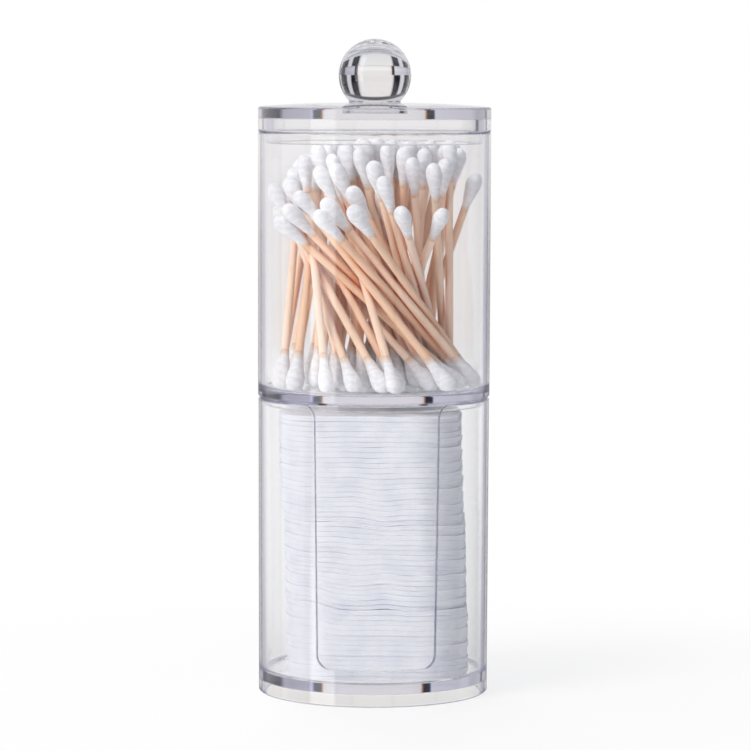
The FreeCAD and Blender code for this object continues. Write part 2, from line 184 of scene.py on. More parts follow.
@dataclass(frozen=True)
class ClearPolystyrene:
    """Clear polystyrene, injection moulded in a polished tool.

    It is water clear and shows a faint violet where the light runs a long way inside it. The
    surface is glossy with the slow waviness that shrinkage leaves.
    """

    name: str
    tint: str = "#FDFDFD"
    depth_tint: str = "#C8C8E2"
    absorption: float = 8.0
    ior: float = 1.59
    haze: tuple[float, float] = (0.0, 0.012)     # least and most roughness
    haze_fade: tuple[float, float] = (0.45, 0.75)
    haze_size_mm: float = 14.0
    wave_size_mm: float = 9.0
    wave_height_mm: float = 0.004
    edge_radius_mm: float = 0.6    # light bends at an edge as if it were this round
    edge_samples: int = 6

    def material(self) -> bpy.types.Material:
        """Build the material.

        Returns:
            A material for a closed moulding.
        """
        material, tree = new_material(self.name)
        place = add_node(tree, "ShaderNodeTexCoord").outputs["Object"]
        haze = noise(tree, place, 1 / (self.haze_size_mm * MM), 3.0)
        roughness = rescale(tree, haze, self.haze_fade, self.haze)
        waves = noise(tree, place, 1 / (self.wave_size_mm * MM), 1.0)
        edges = add_node(
            tree, "ShaderNodeBevel", {"Radius": self.edge_radius_mm * MM},
            samples=self.edge_samples)
        waved = relief(tree, waves, self.wave_height_mm, 1.0, Normal=edges.outputs[0])
        surface = add_node(
            tree, "ShaderNodeBsdfPrincipled",
            {"Base Color": linear(self.tint), "Transmission Weight": 1.0, "IOR": self.ior,
             "Roughness": roughness, "Normal": waved})
        volume = add_node(
            tree, "ShaderNodeVolumeAbsorption",
            {"Color": linear(self.depth_tint), "Density": self.absorption})
        add_node(
            tree, "ShaderNodeOutputMaterial",
            {"Surface": surface.outputs[0], "Volume": volume.outputs[0]})
        return material


@dataclass(frozen=True)
class CottonPad:
    """Bonded cotton fleece, pressed and cut into squares.

    It is matt and slightly translucent, with loose fibres that lie flat in the cut edge.
    """

    name: str = "pressed_cotton_fleece"
    bright: str = "#EDEEF4"
    shaded: str = "#E2E4ED"
    shading: tuple[float, float] = (0.15, 0.32)   # of the noise, where shaded and where bright
    fibre_size_mm: float = 0.5    # real fibres are 0.02 mm, drawn coarse enough to show
    fibre_height_mm: float = 0.12
    fibre_squash: float = 3.0     # fibres lie flat in the pad, so they are thinner upwards
    cloud_size_mm: float = 7.0
    glow_depth_mm: float = 0.8    # how far light spreads inside the fleece

    def material(self) -> bpy.types.Material:
        """Build the material.

        Returns:
            A matt cotton material.
        """
        material, tree = new_material(self.name)
        place = add_node(tree, "ShaderNodeTexCoord").outputs["Object"]
        stretch = add_node(
            tree, "ShaderNodeMapping",
            {"Vector": place, "Scale": (1.0, 1.0, self.fibre_squash)})
        fibres = noise(
            tree, stretch.outputs[0], 1 / (self.fibre_size_mm * MM), 4.0, Roughness=0.65,
            Distortion=0.6)
        clouds = noise(tree, place, 1 / (self.cloud_size_mm * MM), 2.0)
        mixed = calculate(tree, "MULTIPLY", fibres, clouds)
        colour = add_node(
            tree, "ShaderNodeValToRGB", {"Fac": mixed},
            stops=tuple(zip(self.shading, (self.shaded, self.bright))))
        fuzz = relief(tree, fibres, self.fibre_height_mm, 0.6)
        surface = add_node(
            tree, "ShaderNodeBsdfPrincipled",
            {"Base Color": colour.outputs["Color"], "Roughness": 0.95,
             "Specular IOR Level": 0.2, "Sheen Weight": 0.15, "Sheen Roughness": 0.6,
             "Subsurface Weight": 0.12, "Subsurface Scale": self.glow_depth_mm * MM,
             "Subsurface Radius": (1.0, 1.0, 1.0), "Normal": fuzz})
        add_node(tree, "ShaderNodeOutputMaterial", {"Surface": surface.outputs[0]})
        return material


@dataclass(frozen=True)
class CottonBud:
    """Carded cotton, wound on the stick's end and pressed round.

    It is bright matt white with faint slanting furrows from the winding, painted a little darker
    as shade, and the wood shows through where it thins out on the stick.
    """

    name: str = "wound_carded_cotton"
    bright: str = "#F4F4F6"
    painted_furrow_shade: str = "#EAEAEE"
    thin: str = "#E6BE9C"
    winding_mm: float = 2.4       # how far the cotton climbs in one turn
    strands: int = 2              # wound on side by side
    waver_per_mm: float = 0.45
    waver_turn: float = 14.0      # how far the furrows stray, in radians
    furrow_height_mm: float = 0.03
    bright_from: float = 0.6      # height on a strand from which the painted furrow shade is gone
    fibre_size_mm: float = 0.35   # real fibres are 0.02 mm, drawn coarse enough to show
    fibre_height_mm: float = 0.05
    glow_depth_mm: float = 1.0    # how far light spreads inside the cotton

    def material(self) -> bpy.types.Material:
        """Build the material.

        Returns:
            A soft white cotton material.
        """
        material, tree = new_material(self.name)
        place = add_node(tree, "ShaderNodeAttribute", attribute_name=PLACE).outputs["Vector"]
        fibres = noise(tree, place, 1 / self.fibre_size_mm, 4.0, Roughness=0.6)
        waver = noise(tree, place, self.waver_per_mm, 2.0)
        axes = add_node(tree, "ShaderNodeSeparateXYZ", {"Vector": place}).outputs
        angle = calculate(tree, "ARCTAN2", axes["Y"], axes["X"])
        round_turns = calculate(tree, "MULTIPLY", angle, self.strands)
        turns = calculate(
            tree, "MULTIPLY_ADD", axes["Z"], 2 * math.pi / self.winding_mm, round_turns)
        wavering = calculate(tree, "MULTIPLY_ADD", waver, self.waver_turn, turns)
        furrows = calculate(tree, "SINE", wavering)
        # Painted shade: the furrows of the winding are coloured a little darker than the cotton
        cotton = add_node(
            tree, "ShaderNodeValToRGB", {"Fac": furrows},
            stops=((0.0, self.painted_furrow_shade), (self.bright_from, self.bright)))
        thinness = add_node(tree, "ShaderNodeAttribute", attribute_name=TONE).outputs["Fac"]
        colour = blend(tree, thinness, cotton.outputs["Color"], linear(self.thin))
        winding = relief(tree, furrows, self.furrow_height_mm, 0.35)
        fuzz = relief(tree, fibres, self.fibre_height_mm, 0.7, Normal=winding)
        surface = add_node(
            tree, "ShaderNodeBsdfPrincipled",
            {"Base Color": colour, "Roughness": 0.95,
             "Specular IOR Level": 0.15, "Sheen Weight": 0.25, "Sheen Roughness": 0.5,
             "Subsurface Weight": 0.25, "Subsurface Scale": self.glow_depth_mm * MM,
             "Subsurface Radius": (1.0, 1.0, 1.0), "Normal": fuzz})
        add_node(tree, "ShaderNodeOutputMaterial", {"Surface": surface.outputs[0]})
        return material


@dataclass(frozen=True)
class BirchStick:
    """Birch, cut to round sticks and left unfinished.

    It is a warm pale wood with fine dark pores that run along the stick. No two sticks have
    quite the same tone. Where the sticks crowd each other, an orange painted shade is mixed in.
    """

    name: str = "turned_birch"
    pale: str = "#FFE6D0"
    warm: str = "#F6C8A4"
    pore: str = "#C98F66"
    # painted shade: orange mixed into the wood where sticks crowd each other, by ambient occlusion
    painted_gap_shade: str = "#E5813F"
    painted_shade_reach_mm: float = 4.0
    painted_shade_fade: tuple[float, float] = (0.15, 0.80)   # AO openness where the painted shade is full and where it is gone
    painted_shade_samples: int = 6
    grain_width_mm: float = 0.35
    grain_length_mm: float = 9.0
    pore_fade: tuple[float, float] = (0.55, 0.78)
    pore_share: float = 0.55
    pore_height_mm: float = 0.03
    roughness: tuple[float, float] = (0.5, 0.75)

    def material(self) -> bpy.types.Material:
        """Build the material.

        Returns:
            A fine-grained wood material.
        """
        material, tree = new_material(self.name)
        place = add_node(tree, "ShaderNodeAttribute", attribute_name=PLACE).outputs["Vector"]
        tone = add_node(tree, "ShaderNodeAttribute", attribute_name=TONE).outputs["Fac"]
        along = add_node(
            tree, "ShaderNodeMapping",
            {"Vector": place, "Scale": (1.0, 1.0, self.grain_width_mm / self.grain_length_mm)})
        grain = noise(
            tree, along.outputs[0], 1 / self.grain_width_mm, 5.0, Roughness=0.6)
        wood = blend(tree, tone, linear(self.pale), linear(self.warm))
        pores = rescale(tree, grain, self.pore_fade, (0.0, self.pore_share))
        grained = blend(tree, pores, wood, linear(self.pore))
        # Painted shade: ambient occlusion turns the wood orange where the sticks crowd each other
        painted_shade_occlusion = add_node(
            tree, "ShaderNodeAmbientOcclusion", {"Distance": self.painted_shade_reach_mm * MM},
            samples=self.painted_shade_samples)
        unshaded_share = rescale(tree, painted_shade_occlusion.outputs["AO"], self.painted_shade_fade)
        colour = blend(tree, unshaded_share, linear(self.painted_gap_shade), grained)
        roughness = rescale(tree, grain, (0.0, 1.0), self.roughness)
        surface = add_node(
            tree, "ShaderNodeBsdfPrincipled",
            {"Base Color": colour, "Roughness": roughness,
             "Normal": relief(tree, grain, self.pore_height_mm, 0.5)})
        add_node(tree, "ShaderNodeOutputMaterial", {"Surface": surface.outputs[0]})
        return material


# Meshes


@dataclass
class RingMesh:
    """A mesh of closed tubes, each a stack of rings with a point at both ends."""

    rings: list[np.ndarray] = field(default_factory=list)
    places: list[np.ndarray] = field(default_factory=list)
    tones: list[np.ndarray] = field(default_factory=list)

    def add(self, rings: np.ndarray, places: np.ndarray, tones: float | np.ndarray = 0.0) -> None:
        """Add one tube.

        Args:
            rings: Points, by ring and then by side; the first and last rings are single points
                repeated.
            places: The same points in the tube's own frame, which its texture follows.
            tones: Shade of the tube or of each ring, from 0 to 1.
        """
        self.rings.append(rings)
        self.places.append(places)
        self.tones.append(np.broadcast_to(tones, len(rings)))

    def build(self, name: str) -> bpy.types.Object:
        """Make the mesh object.

        Args:
            name: Name of the piece.

        Returns:
            The object, linked to the scene.
        """
        points, faces, places, tones = [], [], [], []
        offset = 0
        for rings, local, tone in zip(self.rings, self.places, self.tones):
            count, sides, _ = rings.shape
            flat = np.concatenate([rings[0, :1], rings[1:-1].reshape(-1, 3), rings[-1, :1]])
            points.append(flat)
            places.append(
                np.concatenate([local[0, :1], local[1:-1].reshape(-1, 3), local[-1, :1]]))
            tones.append(
                np.concatenate([tone[:1], np.repeat(tone[1:-1], sides), tone[-1:]]))
            here = np.arange(sides)
            beside = (here + 1) % sides
            first = offset + 1
            last = first + (count - 3) * sides
            faces += [(offset, first + b, first + a) for a, b in zip(here, beside)]
            for ring in range(count - 3):
                low = first + ring * sides
                high = low + sides
                faces += [
                    (low + a, low + b, high + b, high + a) for a, b in zip(here, beside)
                ]
            end = offset + len(flat) - 1
            faces += [(end, last + a, last + b) for a, b in zip(here, beside)]
            offset += len(flat)
        mesh = bpy.data.meshes.new(name)
        mesh.from_pydata(np.concatenate(points).tolist(), [], [
            tuple(int(i) for i in face) for face in faces])
        mesh.shade_smooth()
        place = mesh.attributes.new(PLACE, "FLOAT_VECTOR", "POINT")
        place.data.foreach_set("vector", np.concatenate(places).astype(np.float32).ravel())
        shade = mesh.attributes.new(TONE, "FLOAT", "POINT")
        shade.data.foreach_set("value", np.concatenate(tones).astype(np.float32))
        piece = bpy.data.objects.new(name, mesh)
        bpy.context.scene.collection.objects.link(piece)
        return piece


def islands(node: str) -> list[np.ndarray]:
    """Split a CAD node into its separate solids.

    Args:
        node: Name of the node.

    Returns:
        The corner points of each solid, in metres.
    """
    joined = bmesh.new()
    joined.from_mesh(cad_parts[node].data)
    bmesh.ops.remove_doubles(joined, verts=joined.verts, dist=WELD)
    found, seen = [], set()
    for start in joined.verts:
        if start in seen:
            continue
        seen.add(start)
        reached, waiting = [], [start]
        while waiting:
            corner = waiting.pop()
            reached.append(corner.co[:])
            for edge in corner.link_edges:
                other = edge.other_vert(corner)
                if other not in seen:
                    seen.add(other)
                    waiting.append(other)
        found.append(np.array(reached))
    joined.free()
    return found


def finish_piece(
    piece: bpy.types.Object, material: bpy.types.Material, body: Body, slot: Slot, *nodes: str
) -> None:
    """Give a piece its material and its body, and hide the nodes that it stands for."""
    piece.data.materials.append(material)
    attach(piece, body.value)
    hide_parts(*nodes)
    log.info("%s: %d faces", piece.name, len(piece.data.polygons))


def ramp(value: np.ndarray, start: float, run: float) -> np.ndarray:
    """Climb from 0 at the start to 1 at the end of the run, which may be negative."""
    return np.clip((value - start) / run, 0, 1)


def bell(value: np.ndarray, middle: float, spread: float) -> np.ndarray:
    """Rise to 1 at the middle and fade out on both sides."""
    return np.exp(-((value - middle) / spread) ** 2)


# Cotton swabs


@dataclass
class SwabSheaf:
    """The swabs in the upper tier: birch sticks with a wound cotton bud on both ends.

    Lengths are in millimetres.
    """

    stick_radius: float = 1.2
    stick_sides: int = 14
    stick_rings: int = 12
    stick_taper: float = 0.03
    stick_squash: float = 0.015
    hidden_in_bud: float = 4.0
    grain_shift: float = 90.0      # so that no two sticks have the same grain
    bud_sides: int = 24
    bud_spread: float = 0.05       # how far a bud is thicker or thinner than most, as a share
    bud_squash: float = 0.05
    bud_end: float = 11.0          # from here on the cotton hugs the stick on every bud
    winding_shift: float = 900.0   # so that no two buds have the same furrows
    bud_profile: tuple[tuple[float, float], ...] = (
        (0.0, 0.0), (0.10, 0.62), (0.38, 1.22), (0.85, 1.70), (1.5, 2.08), (2.3, 2.33),
        (3.2, 2.45), (4.2, 2.43), (5.3, 2.28), (6.4, 2.06), (7.5, 1.82), (8.6, 1.61),
        (9.7, 1.44), (10.6, 1.34), (11.4, 1.28), (12.1, 1.25), (12.5, 1.24), (12.55, 0.0))
    thin_from: float = 9.9
    thin_to: float = 12.3
    thinnest: float = 0.9          # share of the wood's colour that shows at the bud's end
    lump_height: float = 0.035
    lump_length: float = 5.2
    lump_slant: float = 1.3        # radians that the threefold lumps turn in a millimetre
    seed: int = 7

    def axes(self) -> list[tuple[Vector, Vector]]:
        """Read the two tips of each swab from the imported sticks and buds.

        Returns:
            Lower and upper tip of each swab, in millimetres.
        """
        bud = self.along(islands("swab_buds_lower")[0])
        bud_length = np.ptp(bud)
        tips = []
        for corners in islands("swab_sticks"):
            centre = corners.mean(0)
            direction = self.direction(corners)
            reach = np.ptp(self.along(corners)) / 2 + bud_length
            low, high = centre - direction * reach, centre + direction * reach
            tips.append((Vector(low / MM), Vector(high / MM)))
        return tips

    @staticmethod
    def direction(corners: np.ndarray) -> np.ndarray:
        """Long axis of a solid, pointing up."""
        axis = np.linalg.svd(corners - corners.mean(0))[2][0]
        return axis * math.copysign(1, axis[2])

    def along(self, corners: np.ndarray) -> np.ndarray:
        """Places of a solid's corners along its long axis."""
        return (corners - corners.mean(0)) @ self.direction(corners)

    def tube(
        self, start: Vector, direction: Vector, profile: Sequence[tuple[float, float]],
        sides: int, luck: np.random.Generator, squash: float = 0.0, lumps: float = 0.0,
    ) -> tuple[np.ndarray, np.ndarray]:
        """Points of a round tube along a line.

        Args:
            start: Where the profile begins, in millimetres.
            direction: Unit vector along the tube.
            profile: Distance and radius of each ring.
            sides: Points in a ring.
            luck: Source of the tube's own variation.
            squash: How far the section is from round, as a share.
            lumps: Height of the soft lumps, in millimetres.

        Returns:
            The points in the model, in metres, and in the tube's own frame, in millimetres.
        """
        distance = np.array([d for d, _ in profile])[:, None]
        radius = np.array([r for _, r in profile])[:, None]
        angle = np.linspace(0, 2 * math.pi, sides, endpoint=False)[None, :]
        oval_start, twofold, threefold, _ = luck.uniform(0, 2 * math.pi, 4)
        oval = 1 + squash * np.cos(2 * angle + oval_start)
        wave = np.sin(2 * angle + 2 * math.pi * distance / self.lump_length + twofold)
        wave = wave + np.sin(3 * angle - self.lump_slant * distance + threefold)
        swollen = radius * oval + lumps * wave * np.minimum(1, radius)
        swollen = np.where(radius == 0, 0, swollen)
        local = np.stack([
            swollen * np.cos(angle), swollen * np.sin(angle),
            np.broadcast_to(distance, swollen.shape)], axis=-1)
        turn = np.array(direction.to_track_quat("Z", "Y").to_matrix())
        points = local @ turn.T + np.array(start)
        return points * MM, local

    def build(self) -> list[bpy.types.Object]:
        """Make the sticks and both sets of buds.

        Returns:
            The three pieces.
        """
        luck = np.random.default_rng(self.seed)
        sticks, lower_buds, upper_buds = RingMesh(), RingMesh(), RingMesh()
        for low, high in self.axes():
            up = (high - low).normalized()
            length = (high - low).length
            tone = luck.uniform(0, 1)
            inset = self.bud_profile[-1][0] - self.hidden_in_bud
            shaft_length = length - 2 * inset
            steps = np.linspace(0, shaft_length, self.stick_rings)
            taper = luck.uniform(-self.stick_taper, self.stick_taper)
            shaft = [
                (d, self.stick_radius * (1 + taper * (d / shaft_length - 0.5))) for d in steps
            ]
            shaft = [(0, 0), *shaft, (shaft_length, 0)]
            points, local = self.tube(
                low + up * inset, up, shaft, self.stick_sides, luck, self.stick_squash)
            sticks.add(points, local + luck.uniform(0, self.grain_shift, 3), tone)
            for buds, tip, inward in ((lower_buds, low, up), (upper_buds, high, -up)):
                girth = 1 + luck.uniform(-self.bud_spread, self.bud_spread)
                profile = [
                    (d, r * girth if d < self.bud_end else r) for d, r in self.bud_profile]
                points, local = self.tube(
                    tip, inward, profile, self.bud_sides, luck, self.bud_squash,
                    self.lump_height)
                offset = np.array([0, 0, luck.uniform(0, self.winding_shift)])
                thinness = ramp(
                    np.array([d for d, _ in profile]), self.thin_from,
                    self.thin_to - self.thin_from)
                buds.add(points, local + offset, thinness * self.thinnest)
        wood, cotton = BirchStick().material(), CottonBud().material()
        pieces = []
        for mesh, name, material, slot, node in (
            (sticks, "swab_stick_wood", wood, Slot.STICK, "swab_sticks"),
            (lower_buds, "swab_cotton_lower", cotton, Slot.BUD, "swab_buds_lower"),
            (upper_buds, "swab_cotton_upper", cotton, Slot.BUD, "swab_buds_upper"),
        ):
            piece = mesh.build(name)
            finish_piece(piece, material, Body.UPPER_TIER, slot, node)
            pieces.append(piece)
        return pieces


# Cotton pads


@dataclass
class PadStack:
    """The stack of square cotton pads in the lower tier, in the packs that it was filled in.

    Lengths are in millimetres and angles in degrees. A pair for a place across the stack says
    where a form begins and over how far it grows, and a pair for a level where its middle is and
    how far it spreads.
    """

    side: float = 53.2
    corner: float = 13.5
    settled_turn: float = 7.0
    points_round: int = 184
    lips: tuple[tuple[float, float], ...] = (   # inset and rise of a pad's edge, as shares
        (0.03, 0.05), (0.0, 0.28), (0.0, 0.84), (0.02, 0.95), (0.06, 1.00), (0.15, 1.02))
    lip_depth: float = 0.4
    lip_depth_by_ripple: float = 3.6
    break_depth: float = 3.2                    # lip of a pack's first and last pad
    face_insets: tuple[float, ...] = (3.0, 12.0)   # rings of points on a pad's faces
    slide: tuple[tuple[float, float, float], ...] = (   # level, and slide across and back
        (6.0, 1.1, 0.7), (27.9, 1.1, 0.6), (28.1, 1.4, 0.3), (53.5, 1.0, 0.2),
        (53.6, 1.1, -0.2), (70.0, 0.5, -0.2), (86.0, 0.1, -0.1))
    ripple: Mapping[str, float] = field(default_factory=lambda: {
        "cotton_pads_lower": 0.06, "cotton_pads_middle": 0.13, "cotton_pads_upper": 0.16})
    waves: tuple[tuple[float, int, float], ...] = (   # share, count round a pad, turn upwards
        (1.0, 5, 0.0), (0.6, 9, -4.0), (0.45, 17, 9.0))
    drift: tuple[float, int] = (2.5, 5)         # sway of the first waves, and its turn upwards
    calm: tuple[float, float, float] = (6.0, 8.0, 0.1)   # growth from below, above, least
    edge_wander: float = 0.045
    wanders: tuple[tuple[float, int], ...] = ((1.0, 3), (0.7, 11), (0.5, 29))
    front: tuple[float, float] = (8.0, -20.0)
    curl: float = 2.8
    curl_across: tuple[float, float] = (-10.0, -11.0)
    curl_level: tuple[float, float] = (29.0, 9.0)
    tilt: float = 0.036
    tilt_level: tuple[float, float] = (52.0, 13.0)
    hump: float = 0.7
    hump_length: float = 21.2
    hump_start: float = -7.0
    hump_across: tuple[float, float] = (-2.0, 17.0)
    hump_level: tuple[float, float] = (57.0, 11.0)
    swell: float = 0.25
    swell_length: float = 17.0
    swell_start: float = -4.0
    swell_slant: float = 0.4
    swell_level: tuple[float, float] = (40.0, 16.0)
    sag: float = 0.9
    sag_across: tuple[float, float] = (4.0, 22.0)
    sag_level: tuple[float, float] = (86.0, 6.0)
    wall_foot: float = 32.65                    # inner radius of the canister at its floor
    wall_slope: float = 0.0082
    wall_gap: float = 0.12
    floor_level: float = 6.4
    floor_round: float = 1.5
    seed: int = 3

    def outline(self) -> tuple[np.ndarray, np.ndarray]:
        """Points round a square with rounded corners, and the way out at each.

        Returns:
            The points, in millimetres, and the outward unit vectors.
        """
        straight = self.side - 2 * self.corner
        arc = self.corner * math.pi / 2
        run = straight + arc
        places, outward = [], []
        for step in np.linspace(0, 4 * run, self.points_round, endpoint=False):
            quarter, rest = divmod(step, run)
            turn = quarter * math.pi / 2
            if rest < straight:
                spot, way = np.array([self.side / 2, rest - straight / 2]), 0.0
            else:
                way = (rest - straight) / self.corner
                centre = self.side / 2 - self.corner
                spot = centre + self.corner * np.array([math.cos(way), math.sin(way)])
            spin = np.array([
                [math.cos(turn), -math.sin(turn)], [math.sin(turn), math.cos(turn)]])
            places.append(spin @ spot)
            outward.append(spin @ np.array([math.cos(way), math.sin(way)]))
        return np.array(places), np.array(outward)

    @staticmethod
    def spot(corners: np.ndarray) -> tuple[np.ndarray, float, float]:
        """Centre, turn and lowest level of a packed pad, in millimetres and radians."""
        flat = corners[:, :2] / MM
        centre = flat.mean(0)
        away = flat - centre
        fourfold = ((away[:, 0] + 1j * away[:, 1]) ** 4).mean()
        return centre, np.angle(-fourfold) / 4, corners[:, 2].min() / MM

    def confine(self, points: np.ndarray) -> None:
        """Press what would reach the canister's wall or the round at its floor inwards."""
        above = points[..., 2] - self.floor_level
        short = np.clip(self.floor_round - above, 0, self.floor_round)
        rounding = self.floor_round - np.sqrt(self.floor_round ** 2 - short ** 2)
        limit = self.wall_foot + self.wall_slope * above - rounding - self.wall_gap
        reach = np.hypot(points[..., 0], points[..., 1])
        points[..., :2] *= (limit / np.maximum(reach, limit))[..., None]

    def warp(self, x: np.ndarray, y: np.ndarray, z: np.ndarray) -> np.ndarray:
        """How far the settled stack is lifted at a place: soft waves, a curled edge and a sag.

        Args:
            x: Across, in millimetres.
            y: To the back.
            z: Up.

        Returns:
            The lift, in millimetres.
        """
        front = ramp(y, *self.front)
        curled = ramp(x, *self.curl_across)
        curled = curled * curled * (3 - 2 * curled)
        lift = self.curl * curled * front * bell(z, *self.curl_level)
        lift -= self.tilt * x * bell(z, *self.tilt_level)
        humps = np.cos(2 * math.pi * (x - self.hump_start) / self.hump_length)
        humps = humps * bell(x, *self.hump_across)
        lift += self.hump * humps * front * bell(z, *self.hump_level)
        across = x - self.swell_slant * y - self.swell_start
        swell = np.cos(2 * math.pi * across / self.swell_length)
        lift += self.swell * swell * bell(z, *self.swell_level)
        sagged = ramp(x, *self.sag_across)
        return lift - self.sag * sagged * sagged * bell(z, *self.sag_level)

    def build(self) -> list[bpy.types.Object]:
        """Make the three packs.

        Returns:
            The three pieces.
        """
        luck = np.random.default_rng(self.seed)
        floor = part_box("cotton_pads_lower")[0].z / MM
        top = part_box("cotton_pads_upper")[1].z / MM
        material = CottonPad().material()
        pieces = []
        phases = luck.uniform(0, 2 * math.pi, 6)[:4]
        for node, ripple in self.ripple.items():
            pack = RingMesh()
            solids = sorted(islands(node), key=lambda corners: corners[:, 2].min())
            for corners in solids:
                outermost = corners is solids[0] or corners is solids[-1]
                depth = self.lip_depth + self.lip_depth_by_ripple * ripple
                depth = self.break_depth if outermost else depth
                pack.add(*self.pad(corners, ripple, depth, floor, top, phases, luck))
            piece = pack.build(node.replace("cotton_pads", "pad_fleece"))
            finish_piece(piece, material, Body.LOWER_TIER, Slot.PAD, node)
            pieces.append(piece)
        return pieces

    def pad(
        self, corners: np.ndarray, ripple: float, depth: float, floor: float, top: float,
        phases: np.ndarray, luck: np.random.Generator,
    ) -> tuple[np.ndarray, np.ndarray]:
        """Points of one pad, from the middle of its lower face over the edge to the upper.

        Args:
            corners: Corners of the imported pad.
            ripple: Height of the waves in its pack, in millimetres.
            depth: How far in its rounded edge reaches, in millimetres.
            floor: Level under the whole stack.
            top: Level of the stack's top.
            phases: Where the waves begin, shared by the whole stack.
            luck: Source of the pad's own variation.

        Returns:
            The points in the model, in metres, and again as texture places.
        """
        centre, turn, level = self.spot(corners)
        turn += math.radians(self.settled_turn)
        thickness = np.ptp(corners[:, 2]) / MM
        levels, across, back = np.array(self.slide).T
        centre = centre + [np.interp(level, levels, across), np.interp(level, levels, back)]
        outline, outward = self.outline()
        around = np.linspace(0, 2 * math.pi, self.points_round, endpoint=False)
        height = (level - floor) / (top - floor)
        below, above, least = self.calm
        free = min(1.0, below * height, above * (1 - height) + least)
        sway, sway_turn = self.drift
        drift = sway * math.sin(sway_turn * height + phases[1])
        starts = (phases[0] + drift, phases[2], phases[3])
        wave = ripple * free * sum(
            share * np.sin(count * around + start + climb * height)
            for (share, count, climb), start in zip(self.waves, starts))
        wander = self.edge_wander * sum(
            share * np.sin(count * around + start)
            for (share, count), start in zip(self.wanders, luck.uniform(0, 2 * math.pi, 3)))
        half = thickness / 2
        section = [(inset * depth, -rise) for inset, rise in reversed(self.lips)]
        section += [(inset * depth, rise) for inset, rise in self.lips]
        section = [(i, -1.0) for i in reversed(self.face_insets)] + section
        section += [(i, 1.0) for i in self.face_insets]
        spin = np.array([[math.cos(turn), -math.sin(turn)], [math.sin(turn), math.cos(turn)]])
        rings = [np.zeros((self.points_round, 3)) + [*centre, level]]
        for inset, rise in section:
            shrink = max(0.0, 1 - inset / self.face_insets[-1])
            flat = outline + outward * (wander * shrink - inset)[:, None]
            flat = flat @ spin.T + centre
            lift = level + half + half * rise + wave * shrink
            rings.append(np.column_stack([flat, lift]))
        rings.append(np.zeros((self.points_round, 3)) + [*centre, level + thickness])
        points = np.array(rings)
        points[..., 2] += self.warp(*np.moveaxis(points, -1, 0))
        self.confine(points)
        return points * MM, points


# Clear mouldings


@dataclass
class ClearMouldings:
    """The canisters, the lid and the knob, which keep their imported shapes."""

    air_gap_mm: float = 0.01

    def dress(self) -> None:
        """Give each moulding its material and part it from its neighbours by a film of air."""
        clear = ClearPolystyrene("moulded_clear_polystyrene").material()
        knob = ClearPolystyrene(
            "moulded_clear_polystyrene_knob", tint="#F4F4F4", absorption=4.0, ior=1.50,
            wave_height_mm=0.001).material()
        lid = ClearPolystyrene(
            "moulded_clear_polystyrene_lid", tint="#FCFCFC", depth_tint="#CECDDC").material()
        finishes = {"lower_canister": clear, "upper_canister": clear, "lid": lid, "knob": knob}
        for name, material in finishes.items():
            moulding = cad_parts[name]
            for holder in moulding.material_slots:
                holder.material = material
            moulding.visible_shadow = False    # clear plastic lets the lamps' light through
            moulding.visible_diffuse = False
            shrink = moulding.modifiers.new("air_gap", "DISPLACE")
            shrink.strength = -self.air_gap_mm * MM
            shrink.mid_level = 0.0
            log.info("%s: %s", name, material.name)


# Studio


@dataclass(frozen=True)
class Lamp:
    """A square soft lamp that shows in no reflection. Its place and width are in metres."""

    name: str
    place: tuple[float, float, float]
    width: float
    watts: float
    colour: str
    aim: tuple[float, float, float] = (0.0, 0.0, 0.1)

    def build(self) -> None:
        """Add the lamp and point it at the object."""
        data = bpy.data.lights.new(self.name, "AREA")
        data.shape = "SQUARE"
        data.size = self.width
        data.energy = self.watts
        data.color = linear(self.colour)[:3]
        lamp = bpy.data.objects.new(self.name, data)
        bpy.context.scene.collection.objects.link(lamp)
        lamp.location = self.place
        way = Vector(self.aim) - Vector(self.place)
        lamp.rotation_euler = way.to_track_quat("-Z", "Y").to_euler()
        lamp.visible_glossy = False
        lamp.visible_transmission = False


